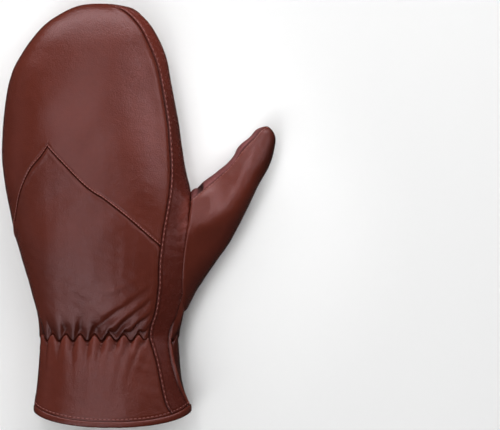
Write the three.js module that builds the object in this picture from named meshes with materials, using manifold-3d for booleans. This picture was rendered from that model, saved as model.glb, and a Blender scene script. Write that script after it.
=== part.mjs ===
// A left-hand leather mitten, palm down on a table, filled out as if a hand had just left it.
// X runs from the little finger to the thumb, Y from the cuff to the fingertips and Z up, through
// the back of the hand. The origin is on the flat of the palm that the mitten rests on.
// Every leather piece is a curved wall cut along the seams, with a narrow gap at each seam.
import * as THREE from "three";
import Module from "manifold-3d";

const wasm = await Module();
wasm.setup();

// Driving dimensions, in millimetres
const LENGTH = 246.6; // fingertip to the hem
const HAND_WIDTH = 108; // widest part of the hand
const HAND_DEPTH = 47; // thickest part of the hand
const WALL = 2.2; // leather with its fleece backing
const SEAM_GAP = 0.3; // between two pieces that are sewn together
const HEM_DROP = 13.1; // how far the hem's middle hangs below a straight edge
const HEM_BAND = 3; // height of the rolled hem
const HEM_SWELL = 0.35; // how far the rolled hem stands out of the leather
const THUMB_REACH = 51.5; // thumb tip beyond the side of the hand
const THUMB_RISE = 115.5; // thumb tip above the foot of the thumb seam
const THUMB_DEPTH = 26; // thickest part of the thumb
const THUMB_LIFT = 3; // underside of the thumb above the table
const THUMB_HEADING = 69; // degrees from X that the thumb's tip points to
const THUMB_SIDE = 52; // the side of the hand, where the thumb leaves it
const THUMB_FOOT = 58.5; // foot of the thumb seam above the hem's lowest point
const GATHER_COUNT = 22; // pleats right round the elastic
const GATHER_PHASE = 0.04; // shift of the first pleat's foot from the thumb side, in pleats
const GATHER_ZIGZAG = 4.6; // height of the zigzag that the pleats make
const GATHER_PUFF = 1.7; // how far a pleat stands out
const GATHER_GROOVE = 1.1; // how deep the elastic pulls the leather in
const GATHER_REACH = 20; // how far above and below it the elastic is felt
const GATHER_SPREAD = 17; // how far the pleats run above the elastic
const GATHER_TAIL = 11; // and below it
const GATHER_LINING = 1.6; // how far the inside is drawn in at the elastic

// Shares that set the shape of the sections
const REST_AT = 0.4926; // the origin, as a share of the length
const ELASTIC_AT = 0.199; // the elastic, as a share of the length
const HEM_CORNER = 0.098; // how far the hem's sides hang: 0 not at all, 1 nearly as far as its middle
const GROOVE_WIDTH = 0.11; // the elastic's groove, the zigzag and the drawn lining run this far
const ZIGZAG_WIDTH = 0.35; // to each side, as shares of GATHER_REACH
const LINING_WIDTH = 0.6;
const ROUNDNESS = 0.87; // exponent of a section: 1 is an ellipse, less is fuller
const THUMB_ROUNDNESS = 0.93;

const leather = (color) => new THREE.MeshStandardMaterial({ color, roughness: 0.45, metalness: 0 });
const MATERIALS = {
  back: leather(0x64393a),
  palm: leather(0x5f3232),
  strip: leather(0x512424),
  thumb: leather(0x5c2f2f),
  grain: leather(0x784c4e),
  hem: leather(0x552626),
};

const named = (columns, rows) =>
  rows.map((row) => Object.fromEntries(row.map((value, i) => [columns[i], value])));

// Sections of the hand from the hem to the fingertip. along is a share of LENGTH, left and right
// of HAND_WIDTH, and the heights of the back, the side line and the palm are shares of HAND_DEPTH.
// A palm below zero is flattened by the table.
const HAND = named(
  ["along", "left", "right", "top", "side", "bottom"],
  [
    [0.043, -0.365, 0.502, 0.9, 0.44, -0.02],
    [0.07, -0.351, 0.474, 0.885, 0.44, -0.01],
    [0.108, -0.34, 0.447, 0.86, 0.435, 0.0],
    [0.165, -0.33, 0.431, 0.8, 0.42, 0.03],
    [0.199, -0.321, 0.424, 0.76, 0.41, 0.055],
    [0.223, -0.325, 0.433, 0.785, 0.41, 0.045],
    [0.261, -0.343, 0.458, 0.85, 0.42, 0.01],
    [0.319, -0.378, 0.477, 0.93, 0.43, -0.035],
    [0.376, -0.419, 0.488, 0.98, 0.44, -0.06],
    [0.434, -0.461, 0.496, 1.0, 0.445, -0.07],
    [0.492, -0.491, 0.502, 1.0, 0.445, -0.075],
    [0.549, -0.515, 0.496, 1.0, 0.445, -0.075],
    [0.607, -0.532, 0.466, 0.99, 0.445, -0.075],
    [0.664, -0.537, 0.447, 0.975, 0.44, -0.07],
    [0.722, -0.532, 0.425, 0.95, 0.435, -0.06],
    [0.779, -0.515, 0.4, 0.915, 0.43, -0.045],
    [0.837, -0.477, 0.376, 0.865, 0.42, -0.02],
    [0.875, -0.433, 0.356, 0.82, 0.415, 0.005],
    [0.914, -0.378, 0.323, 0.755, 0.41, 0.045],
    [0.952, -0.302, 0.269, 0.66, 0.405, 0.115],
    [0.981, -0.2, 0.206, 0.555, 0.4, 0.215],
    [0.9952, -0.11, 0.132, 0.475, 0.4, 0.31],
    [1.0, 0.011, 0.011, 0.4, 0.4, 0.4],
  ],
);

// Sections of the thumb from inside the hand to its tip. The inner and outer outline points are
// shares of THUMB_REACH outwards and of THUMB_RISE upwards, the heights shares of THUMB_DEPTH.
const THUMB = named(
  ["innerOut", "innerUp", "outerOut", "outerUp", "top", "bottom"],
  [
    [-0.44, 0.42, -0.25, 0.02, 1.02, 0.12],
    [-0.21, 0.55, -0.045, 0.05, 1.12, 0.04],
    [-0.05, 0.63, 0.115, 0.166, 1.06, 0.0],
    [0.1, 0.692, 0.305, 0.293, 1.01, 0.0],
    [0.28, 0.753, 0.508, 0.428, 0.98, 0.03],
    [0.471, 0.821, 0.713, 0.605, 0.9, 0.1],
    [0.62, 0.903, 0.874, 0.769, 0.8, 0.17],
    [0.73, 0.951, 0.983, 0.877, 0.72, 0.24],
    [0.8, 0.985, 1.003, 0.95, 0.63, 0.31],
    [0.908, 1.0, 0.908, 1.0, 0.47, 0.47],
  ],
);

const STRIP_END = 0.998; // where the side strip runs out, as a share of the length

// Seams, in degrees round the section at each share of the length. Zero is the thumb side and 90
// the back. front parts the back from the side strip, rear the strip from the palm, and outer the
// back from the palm on the little finger's side.
const SEAMS = named(
  ["along", "front", "rear", "outer"],
  [
    [0.043, 38, 10, 220],
    [0.07, 43.9, 14, 220],
    [0.108, 46.2, 21, 221],
    [0.145, 49.5, 28, 222],
    [0.173, 53.2, 31, 222],
    [0.199, 56.7, 30, 222],
    [0.223, 57, 28, 221],
    [0.261, 55, 24, 218],
    [0.319, 53.5, 17, 212],
    [0.376, 53, 10, 204],
    [0.434, 50.3, 4, 196],
    [0.492, 46.7, -1, 192],
    [0.549, 41.6, -5, 190],
    [0.607, 34.5, -10, 189],
    [0.664, 31.6, -13, 189],
    [0.722, 29.4, -14, 189],
    [0.837, 30.5, -14, 190],
    [0.914, 38.5, -11, 193],
    [0.952, 42, -7, 198],
    [0.972, 47.5, 0, 203],
    [0.983, 53, 12, 207],
    [0.991, 61, 32, 211],
    [STRIP_END, 74, 74, 215],
    [1.0, 78, 78, 216],
  ],
);

// The pointed seam across the back. across runs from the front seam to the outer seam.
const POINT_AT = 0.53;
const POINT_FOOT = 0.418;
const POINTED_SEAM = named(
  ["across", "along"],
  [
    [0, POINT_FOOT],
    [0.067, 0.439],
    [0.179, 0.48],
    [0.298, 0.529],
    [0.386, 0.571],
    [0.476, 0.6225],
    [POINT_AT, 0.655],
    [0.56, 0.633],
    [0.614, 0.604],
    [0.657, 0.573],
    [0.696, 0.54],
    [0.746, 0.5],
    [0.842, 0.456],
    [1, POINT_FOOT],
  ],
);

// The thumb's two seams, in degrees round its section, at each share of its rows.
const THUMB_SEAMS = named(
  ["at", "front", "rear"],
  [
    [0, 146, 204],
    [0.4, 143, 204],
    [0.8, 138, 202],
    [1, 130, 200],
  ],
);

const radians = THREE.MathUtils.degToRad;
const { clamp, lerp, smoothstep } = THREE.MathUtils;
const steps = (count, low = 0, high = 1) =>
  Array.from({ length: count + 1 }, (_, i) => lerp(low, high, i / count));
const roundPower = (value, exponent) => Math.sign(value) * Math.abs(value) ** exponent;

// A smooth curve through one column of a table, read by another column.
function curve(table, from, to) {
  const x = table.map((row) => row[from]);
  const y = table.map((row) => row[to]);
  const rise = (i) => (y[i + 1] - y[i]) / (x[i + 1] - x[i]);
  const slopes = x.map((_, i) => {
    if (i === 0) return rise(0);
    if (i === x.length - 1) return rise(i - 1);
    return (rise(i - 1) + rise(i)) / 2;
  });
  return (value) => {
    const last = x.length - 2;
    const i = clamp(x.findIndex((edge) => edge > value) - 1, 0, last);
    const row = value >= x[last] ? last : i;
    const width = x[row + 1] - x[row];
    const f = clamp((value - x[row]) / width, 0, 1);
    const g = 1 - f;
    return (
      y[row] * (1 + 2 * f) * g * g +
      y[row + 1] * (3 - 2 * f) * f * f +
      width * f * g * (slopes[row] * g - slopes[row + 1] * f)
    );
  };
}

// One row between the rows of a table, on a smooth curve that closes in a dome at the last row.
function blended(table, at, mirrored) {
  const end = table.length - 1;
  const i = Math.min(Math.floor(at), end - 1);
  const f = at - i;
  const result = {};
  for (const column of Object.keys(table[0])) {
    const tip = table[end][column];
    const before = i > 0 ? table[i - 1][column] : 2 * table[0][column] - table[1][column];
    const inner = table[end - 1][column];
    const after = i < end - 1 ? table[i + 2][column] : mirrored.includes(column) ? inner : 2 * tip - inner;
    const [a, b] = [table[i][column], table[i + 1][column]];
    const bend = 2 * before - 5 * a + 4 * b - after + f * (3 * (a - b) + after - before);
    result[column] = a + 0.5 * f * (b - before + f * bend);
  }
  return result;
}

const handRow = (at) => blended(HAND, at, ["along"]);
const thumbRow = (at) => blended(THUMB, at, ["innerUp", "outerUp"]);
const HAND_END = HAND.length - 1;
const THUMB_END = THUMB.length - 1;

// The place in the table where the hand's section lies at a share of the length.
function rowAt(along) {
  let [low, high] = [0, HAND_END];
  for (let i = 0; i < 40; i += 1) {
    const middle = (low + high) / 2;
    if (handRow(middle).along < along) low = middle;
    else high = middle;
  }
  return (low + high) / 2;
}

// Length of the section's outline at the elastic, up to each degree, which spaces the pleats evenly.
const ELASTIC_SECTION = handRow(rowAt(ELASTIC_AT));
const ELASTIC_ARC = [0];
for (let degree = 1; degree <= 360; degree += 1) {
  const [before, after] = [degree - 1, degree].map((angle) => sectionOffset(ELASTIC_SECTION, radians(angle)));
  ELASTIC_ARC.push(ELASTIC_ARC[degree - 1] + Math.hypot(after.x - before.x, after.z - before.z));
}

// How many pleats there are from the thumb side round to a degree.
function pleatsTo(degrees) {
  const turns = Math.floor(degrees / 360);
  const turn = degrees - 360 * turns;
  const whole = Math.floor(turn);
  const arc = lerp(ELASTIC_ARC[whole], ELASTIC_ARC[whole + 1], turn - whole);
  return GATHER_COUNT * (turns + arc / ELASTIC_ARC[360]) + GATHER_PHASE;
}

function sectionOffset(section, angle) {
  const [c, s] = [Math.cos(angle), Math.sin(angle)];
  const depth = s > 0 ? section.top - section.side : section.side - section.bottom;
  return {
    x: ((section.right - section.left) / 2) * HAND_WIDTH * roundPower(c, ROUNDNESS),
    z: depth * HAND_DEPTH * roundPower(s, ROUNDNESS),
  };
}

const seamFront = curve(SEAMS, "along", "front");
const seamRear = curve(SEAMS, "along", "rear");
const seamOuter = curve(SEAMS, "along", "outer");
const beforePoint = curve(POINTED_SEAM.filter((row) => row.across <= POINT_AT), "across", "along");
const afterPoint = curve(POINTED_SEAM.filter((row) => row.across >= POINT_AT), "across", "along");
const pointedSeam = (across) => (across <= POINT_AT ? beforePoint(across) : afterPoint(across));

// How strongly the elastic gathers the leather there: not on the side strip.
function gathering(degrees) {
  const front = seamFront(ELASTIC_AT);
  const rear = seamRear(ELASTIC_AT);
  const middle = (front + rear) / 2;
  const turn = ((((degrees - middle) % 360) + 540) % 360) - 180;
  return smoothstep(Math.abs(turn), (front - rear) / 2 - 2, (front - rear) / 2 + 9);
}

// The elastic's pull on the leather: how far a point moves up and outwards.
function gather(degrees, along) {
  const above = (along - ELASTIC_AT) * LENGTH;
  const strength = gathering(degrees);
  const wave = Math.cos(2 * Math.PI * pleatsTo(degrees));
  const reach = above > 0 ? GATHER_SPREAD : GATHER_TAIL;
  const fade = Math.exp(-Math.abs(above) / (reach / 2));
  const groove = Math.exp(-((above / (GROOVE_WIDTH * GATHER_REACH)) ** 2));
  const puff = (0.5 + 0.5 * wave * Math.sign(above)) * fade * (1 - groove);
  return {
    up: (GATHER_ZIGZAG / 2) * -wave * strength * Math.exp(-((above / (ZIGZAG_WIDTH * GATHER_REACH)) ** 2)),
    out: strength * (GATHER_PUFF * puff - GATHER_GROOVE * groove),
    drawn: GATHER_LINING * Math.exp(-((above / (LINING_WIDTH * GATHER_REACH)) ** 2)),
  };
}

// A point of the hand. inset is zero on the outside, and the wall on the inside.
function handPoint(degrees, at, inset) {
  const section = handRow(at);
  const angle = radians(degrees);
  const offset = sectionOffset(section, angle);
  const pull = gather(degrees, section.along);
  const inside = inset > 0 ? pull.drawn : 0;
  const out = inset > 0 ? 0 : pull.out;
  const scaleX = 1 - (2 * (inset + inside)) / HAND_WIDTH;
  const scaleZ = 1 - (2 * (inset + inside)) / HAND_DEPTH;
  const outward = new THREE.Vector2(offset.x / HAND_WIDTH ** 2, offset.z / HAND_DEPTH ** 2).normalize();
  const flare = 1 - smoothstep(section.along, HAND[0].along, ELASTIC_AT);
  const drop = HEM_DROP * flare * Math.sqrt(Math.sin(angle) ** 2 + HEM_CORNER);
  const rise = inset > 0 ? 0 : pull.up;
  const shortening = 1 - inset / LENGTH;
  const x = ((section.left + section.right) / 2) * HAND_WIDTH + offset.x * scaleX + outward.x * out;
  const y = (section.along * shortening - REST_AT) * LENGTH - drop + rise;
  const z = section.side * HAND_DEPTH + offset.z * scaleZ + outward.y * out;
  return new THREE.Vector3(x, y, Math.max(z, inset));
}

// A point of the thumb, whose sections lean with it.
function thumbPoint(degrees, at, inset) {
  const section = thumbRow(at);
  const angle = radians(degrees);
  const side = THUMB_SIDE;
  const foot = THUMB_FOOT - REST_AT * LENGTH;
  const inner = new THREE.Vector2(side + section.innerOut * THUMB_REACH, foot + section.innerUp * THUMB_RISE);
  const outer = new THREE.Vector2(side + section.outerOut * THUMB_REACH, foot + section.outerUp * THUMB_RISE);
  const middle = inner.clone().add(outer).divideScalar(2);
  const half = outer.clone().sub(middle);
  const width = Math.max(half.length(), 0.01);
  const tip = smoothstep(at, THUMB_END - 3, THUMB_END);
  const narrow = Math.max(1 - inset / Math.max(width, THUMB_DEPTH / 4), 0);
  const depth = ((section.top - section.bottom) / 2) * THUMB_DEPTH;
  const height = THUMB_LIFT + ((section.top + section.bottom) / 2) * THUMB_DEPTH;
  const shallow = Math.max(1 - inset / Math.max(depth, THUMB_DEPTH / 5), 0);
  const c = roundPower(Math.cos(angle), THUMB_ROUNDNESS) * narrow;
  const s = roundPower(Math.sin(angle), THUMB_ROUNDNESS) * shallow;
  const back = inset * tip;
  const x = middle.x + half.x * c - back * Math.cos(radians(THUMB_HEADING));
  const y = middle.y + half.y * c - back * Math.sin(radians(THUMB_HEADING));
  return new THREE.Vector3(x, y, height + depth * s);
}

// Joins two rows of vertices with triangles. Each row has its own number of vertices.
function zip(faces, low, high, turned) {
  let [i, j] = [0, 0];
  while (i < low.ids.length - 1 || j < high.ids.length - 1) {
    const nextLow = i < low.ids.length - 1 ? low.shares[i + 1] : Infinity;
    const nextHigh = j < high.ids.length - 1 ? high.shares[j + 1] : Infinity;
    const onLow = nextLow <= nextHigh;
    const triangle = [low.ids[i], onLow ? low.ids[i + 1] : high.ids[j + 1], high.ids[j]];
    faces.push(...(turned ? triangle.reverse() : triangle));
    if (onLow) i += 1;
    else j += 1;
  }
}

function geometryOf(vertices, faces) {
  const geometry = new THREE.BufferGeometry().setFromPoints(vertices);
  geometry.setIndex(faces);
  return geometry;
}

// A wall over rows that each run from one seam to another: its outside, its inside and its edges.
function wall(rows, pointAt) {
  const vertices = [];
  const layers = [0, WALL].map((inset) =>
    rows.map((row) => {
      const shares = inset > 0 ? row.inside : row.outside;
      const ids = shares.map((share) => {
        vertices.push(pointAt(row, share, inset));
        return vertices.length - 1;
      });
      return { shares, ids };
    }),
  );
  const faces = [];
  const [outside, inside] = layers;
  const last = rows.length - 1;
  for (let r = 0; r < last; r += 1) {
    zip(faces, outside[r], outside[r + 1], true);
    zip(faces, inside[r], inside[r + 1], false);
  }
  zip(faces, outside[0], inside[0], false);
  if (rows[last].outside.length > 1) zip(faces, outside[last], inside[last], true);
  const edge = (layer, end) => {
    const ids = layer.map((row) => row.ids.at(end));
    return { shares: ids.map((_, i) => i), ids };
  };
  zip(faces, edge(outside, 0), edge(inside, 0), true);
  zip(faces, edge(outside, -1), edge(inside, -1), false);
  return geometryOf(vertices, faces);
}

// A closed solid over whole sections, with a flat start and a domed end.
function closedSolid(pointAt, end, rowCount, columns, inset) {
  const vertices = [];
  const faces = [];
  const rings = [];
  for (let r = 0; r < rowCount; r += 1) {
    const at = (end * r) / rowCount;
    rings.push(vertices.length);
    for (let c = 0; c < columns; c += 1) vertices.push(pointAt((360 * c) / columns, at, inset));
  }
  const tip = vertices.push(pointAt(0, end, inset)) - 1;
  const centre = new THREE.Vector3();
  for (let c = 0; c < columns; c += 1) centre.addScaledVector(vertices[c], 1 / columns);
  const start = vertices.push(centre) - 1;
  for (let c = 0; c < columns; c += 1) {
    const next = (c + 1) % columns;
    for (let r = 1; r < rowCount; r += 1) {
      const [a, b, low, high] = [rings[r - 1] + c, rings[r - 1] + next, rings[r] + c, rings[r] + next];
      faces.push(a, low, b, b, low, high);
    }
    faces.push(rings[rowCount - 1] + c, tip, rings[rowCount - 1] + next);
    faces.push(start, c, next);
  }
  return solidOf(geometryOf(vertices, faces));
}

function solidOf(geometry) {
  const vertProperties = geometry.getAttribute("position").array;
  const triVerts = new Uint32Array(geometry.index.array);
  return new wasm.Manifold(new wasm.Mesh({ numProp: 3, vertProperties, triVerts }));
}

function geometryFrom(solid) {
  const mesh = solid.getMesh();
  const geometry = new THREE.BufferGeometry();
  geometry.setAttribute("position", new THREE.BufferAttribute(mesh.vertProperties, 3));
  geometry.setIndex(new THREE.BufferAttribute(mesh.triVerts, 1));
  return geometry;
}

// The angle that half a seam's gap takes up at a place on the hand or the thumb.
function gapAngle(pointAt, degrees, at) {
  const [before, after] = [-0.5, 0.5].map((turn) => pointAt(degrees + turn, at, 0));
  const perDegree = Math.max(before.distanceTo(after), 1e-3);
  return Math.min(SEAM_GAP / 2 / perDegree, 25);
}

// Rows of sections that all the pieces of the hand share, so that their edges run side by side.
// They lie close together at the elastic, where they are shares of GATHER_REACH from it, and at
// the fingertip.
const ELASTIC_ROWS = [-1.2, -0.7, -0.4, -0.22, -0.105, 0, 0.105, 0.22, 0.4, 0.65, 0.95, 1.3];
const PLEAT_ROWS = ELASTIC_ROWS.map((above) => ELASTIC_AT + (above * GATHER_REACH) / LENGTH);
const PANEL_START = HAND[0].along + (HEM_BAND + SEAM_GAP) / LENGTH;
const GATHER_START = PLEAT_ROWS[0];
const GATHER_STOP = PLEAT_ROWS.at(-1);
const TIP_START = 0.94;
const CUFF_ROWS = steps(2, PANEL_START, GATHER_START).slice(0, -1);
const HEEL_ROWS = steps(3, GATHER_STOP, POINT_FOOT).slice(1);
const FINGER_ROWS = steps(10, POINT_FOOT, TIP_START).slice(1);
const TIP_ROWS = [0.962, 0.978, 0.9885, 0.9955];

// Columns of a piece, as shares of the way across it. Where the leather is gathered, the outside
// has a column at each pleat's top, at its foot and halfway between.
function columnsOf(from, to, count, breakAt) {
  const before = Math.round(count * breakAt);
  const plain = [...steps(before, 0, breakAt).slice(0, -1), ...steps(count - before, breakAt, 1)];
  const pleated = [0];
  const [first, last] = [pleatsTo(from), pleatsTo(to)];
  let degrees = from;
  for (let quarter = Math.ceil(4 * first) + 1; quarter < 4 * last - 0.6; quarter += 1) {
    while (4 * pleatsTo(degrees) < quarter) degrees += 0.05;
    pleated.push((degrees - from) / (to - from));
  }
  pleated.push(1);
  return { plain, pleated };
}

const isPleated = (along) => along > GATHER_START + 1e-6 && along < GATHER_STOP - 1e-6;
const rowOf = (along, columns) => ({
  along,
  outside: isPleated(along) ? columns.pleated : columns.plain,
  inside: columns.plain,
});

// The lower back: from the hem through the gathers to the pointed seam.
function lowerBack() {
  const columns = columnsOf(seamFront(ELASTIC_AT), seamOuter(ELASTIC_AT), 20, POINT_AT);
  const rows = [...CUFF_ROWS, ...PLEAT_ROWS, ...HEEL_ROWS].map((along) => rowOf(along, columns));
  return wall(rows, (row, share, inset) => {
    const climb = clamp((row.along - GATHER_STOP) / (POINT_FOOT - GATHER_STOP), 0, 1);
    const top = pointedSeam(share) - SEAM_GAP / 2 / LENGTH;
    return backPoint(share, row.along + climb * (top - POINT_FOOT), inset);
  });
}

// The upper back: from the pointed seam to the fingertip.
function upperBack() {
  const columns = columnsOf(seamFront(ELASTIC_AT), seamOuter(ELASTIC_AT), 20, POINT_AT);
  const rows = [POINT_FOOT, ...FINGER_ROWS, ...TIP_ROWS].map((along) => rowOf(along, columns));
  rows.push({ along: 1 - SEAM_GAP / 6 / LENGTH, outside: [POINT_AT], inside: [POINT_AT] });
  return wall(rows, (row, share, inset) => {
    const climb = clamp((row.along - POINT_FOOT) / (TIP_START - POINT_FOOT), 0, 1);
    const foot = pointedSeam(share) + SEAM_GAP / 2 / LENGTH;
    return backPoint(share, row.along + (1 - climb) * (foot - POINT_FOOT), inset);
  });
}

function backPoint(share, along, inset) {
  return between(seamFront(along), seamOuter(along), share, along, inset);
}

// A point of the hand between two seams, short of each by half of the gap.
function between(from, to, share, along, inset) {
  const at = rowAt(along);
  const low = from + gapAngle(handPoint, from, at);
  const high = to - gapAngle(handPoint, to, at);
  return handPoint(lerp(low, high, share), at, inset);
}

// The side strip on the thumb's side, from the hem to just short of the fingertip.
function sideStrip() {
  const columns = { plain: steps(4), pleated: steps(4) };
  const alongs = [...CUFF_ROWS, ...PLEAT_ROWS, ...HEEL_ROWS, ...FINGER_ROWS, ...TIP_ROWS];
  const rows = alongs.map((along) => rowOf(along, columns));
  rows.push({ along: STRIP_END - SEAM_GAP / LENGTH, outside: [0.5], inside: [0.5] });
  return wall(rows, (row, share, inset) => {
    return between(seamRear(row.along), seamFront(row.along), share, row.along, inset);
  });
}

// The palm, which wraps round the little finger's side and over the fingertip.
function palm() {
  const columns = columnsOf(seamOuter(ELASTIC_AT), 360 + seamRear(ELASTIC_AT), 26, 0.5);
  const alongs = [...CUFF_ROWS, ...PLEAT_ROWS, ...HEEL_ROWS, ...FINGER_ROWS, ...TIP_ROWS];
  const rows = alongs.map((along) => rowOf(along, columns));
  rows.push({ along: 1, outside: [0.5], inside: [0.5] });
  return wall(rows, (row, share, inset) => {
    return between(seamOuter(row.along), 360 + seamRear(row.along), share, row.along, inset);
  });
}

// The rolled hem: a rounded band that follows the edge of the cuff all the way round.
function hem() {
  const [around, columns] = [8, 56];
  const vertices = [];
  const faces = [];
  for (let c = 0; c < columns; c += 1) {
    const degrees = (360 * c) / columns;
    const outside = handPoint(degrees, 0, 0);
    const inside = handPoint(degrees, 0, WALL);
    inside.y = outside.y;
    const thickness = outside.distanceTo(inside) + 2 * HEM_SWELL;
    const inward = inside.clone().sub(outside).normalize();
    for (let k = 0; k < around; k += 1) {
      const angle = (2 * Math.PI * k) / around;
      const across = ((1 - roundPower(Math.cos(angle), 0.6)) / 2) * thickness - HEM_SWELL;
      const up = ((1 + roundPower(Math.sin(angle), 0.6)) / 2) * HEM_BAND;
      const point = outside.clone().addScaledVector(inward, across);
      vertices.push(new THREE.Vector3(point.x, point.y + up, Math.max(point.z, 0)));
    }
  }
  for (let c = 0; c < columns; c += 1) {
    const next = ((c + 1) % columns) * around;
    for (let k = 0; k < around; k += 1) {
      const turn = (k + 1) % around;
      const [a, b, d, e] = [c * around + k, c * around + turn, next + k, next + turn];
      faces.push(a, b, d, b, e, d);
    }
  }
  return geometryOf(vertices, faces);
}

const thumbFront = curve(THUMB_SEAMS, "at", "front");
const thumbRear = curve(THUMB_SEAMS, "at", "rear");

// One leather of the thumb between two of its seams, cut where it meets the hand.
function thumbPiece(from, to, columns, handWithGap) {
  const rowCount = 16;
  const across = steps(columns);
  const alongs = [...steps(rowCount).slice(0, -1), 1 - 0.22 / THUMB_END];
  const rows = alongs.map((step) => ({ at: THUMB_END * step, outside: across, inside: across }));
  const tip = to(1) - from(1) < 180 ? THUMB_END - 0.04 : THUMB_END;
  rows.push({ at: tip, outside: [0.5], inside: [0.5] });
  const geometry = wall(rows, (row, share, inset) => {
    const progress = row.at / THUMB_END;
    const [start, stop] = [from(progress), to(progress)];
    const low = start + gapAngle(thumbPoint, start, row.at);
    const high = stop - gapAngle(thumbPoint, stop, row.at);
    return thumbPoint(lerp(low, high, share), row.at, inset);
  });
  const cut = solidOf(geometry).subtract(handWithGap);
  const pieces = cut.decompose().sort((a, b) => b.volume() - a.volume());
  return geometryFrom(pieces[0]);
}

const handWithGap = closedSolid(handPoint, HAND_END, 88, 120, -SEAM_GAP);
const thumbHollow = closedSolid(thumbPoint, THUMB_END, 14, 24, WALL);
const withThumbHole = (geometry) => geometryFrom(solidOf(geometry).subtract(thumbHollow));

const mitten = new THREE.Group();
function add(name, geometry, material) {
  const mesh = new THREE.Mesh(geometry, material);
  mesh.name = name;
  mitten.add(mesh);
}

add("lower_back", lowerBack(), MATERIALS.back);
add("upper_back", upperBack(), MATERIALS.back);
add("side_strip", withThumbHole(sideStrip()), MATERIALS.strip);
add("palm", withThumbHole(palm()), MATERIALS.palm);
add("hem", hem(), MATERIALS.hem);
add("thumb_cover", thumbPiece((at) => thumbRear(at) - 360, thumbFront, 20, handWithGap), MATERIALS.thumb);
add("thumb_strip", thumbPiece(thumbFront, thumbRear, 5, handWithGap), MATERIALS.grain);

export default mitten;
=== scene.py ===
# The looks of a left-hand leather mitten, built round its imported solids.
import math

import bmesh
import bpy
import numpy as np
from mathutils import Matrix, Vector


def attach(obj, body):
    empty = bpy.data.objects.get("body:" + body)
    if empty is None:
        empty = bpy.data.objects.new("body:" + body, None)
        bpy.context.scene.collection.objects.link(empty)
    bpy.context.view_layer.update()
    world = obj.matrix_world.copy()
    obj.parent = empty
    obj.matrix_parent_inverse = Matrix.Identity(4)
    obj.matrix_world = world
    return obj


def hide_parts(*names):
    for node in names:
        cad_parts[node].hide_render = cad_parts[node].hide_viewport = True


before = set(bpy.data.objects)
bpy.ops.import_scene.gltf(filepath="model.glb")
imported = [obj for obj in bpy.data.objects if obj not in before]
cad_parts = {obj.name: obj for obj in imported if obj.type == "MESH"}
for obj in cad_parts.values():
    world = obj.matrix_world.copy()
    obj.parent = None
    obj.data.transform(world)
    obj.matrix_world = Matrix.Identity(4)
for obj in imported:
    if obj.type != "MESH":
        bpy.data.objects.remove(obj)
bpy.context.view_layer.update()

SCENE = bpy.context.scene
# Metres in a millimetre
MM = 0.001


def add_object(name, data):
    """A new object in the scene."""
    made = bpy.data.objects.new(name, data)
    SCENE.collection.objects.link(made)
    return made


# The camera, above the mitten as it lies on the floor. The photograph is measured in pixels and the
# rest in millimetres, and the photograph's scale holds at the silhouette's height
PHOTO_WIDTH = 500
MM_PER_PIXEL = 0.592
EYE = (88.8, 0.0)
EYE_HEIGHT = 2423
SILHOUETTE_HEIGHT = 23
SENSOR_WIDTH = 36


def add_camera():
    data = bpy.data.cameras.new("camera")
    data.sensor_width = SENSOR_WIDTH
    data.lens = SENSOR_WIDTH * (EYE_HEIGHT - SILHOUETTE_HEIGHT) / (PHOTO_WIDTH * MM_PER_PIXEL)
    data.clip_start = 0.01
    data.clip_end = 20
    camera = add_object("camera", data)
    camera.location = (EYE[0] * MM, EYE[1] * MM, EYE_HEIGHT * MM)
    SCENE.camera = camera


# Sizes in millimetres, the same as the solids'
LENGTH = 246.6
HAND_WIDTH = 108
HAND_DEPTH = 47
WALL = 2.2
HEM_DROP = 13.1
HEM_BAND = 3
THUMB_REACH = 51.5
THUMB_RISE = 115.5
THUMB_DEPTH = 26
THUMB_LIFT = 3
THUMB_SIDE = 52
THUMB_FOOT = 58.5
GATHER_ZIGZAG = 4.6
GATHER_LINING = 1.6
LINING_REACH = 12
ZIGZAG_REACH = 7

# The leather's own, in millimetres: its seams close up more than the solids', and a pleat's usual width
SEAM_GAP = 0.1
GATHER_PITCH = 8.7

# Shares, counts and angles, the same as the solids'
HEM_CORNER = 0.098
THUMB_HEADING = math.radians(69)
GATHER_COUNT = 22
GATHER_PHASE = 0.04
REST_AT = 0.4926
ELASTIC_AT = 0.199
ROUNDNESS = 0.87
THUMB_ROUNDNESS = 0.93
STRIP_END = 0.998
POINT_AT = 0.53
POINT_FOOT = 0.418


def named(columns, rows):
    return dict(zip(columns, np.array(rows, float).T))


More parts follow.
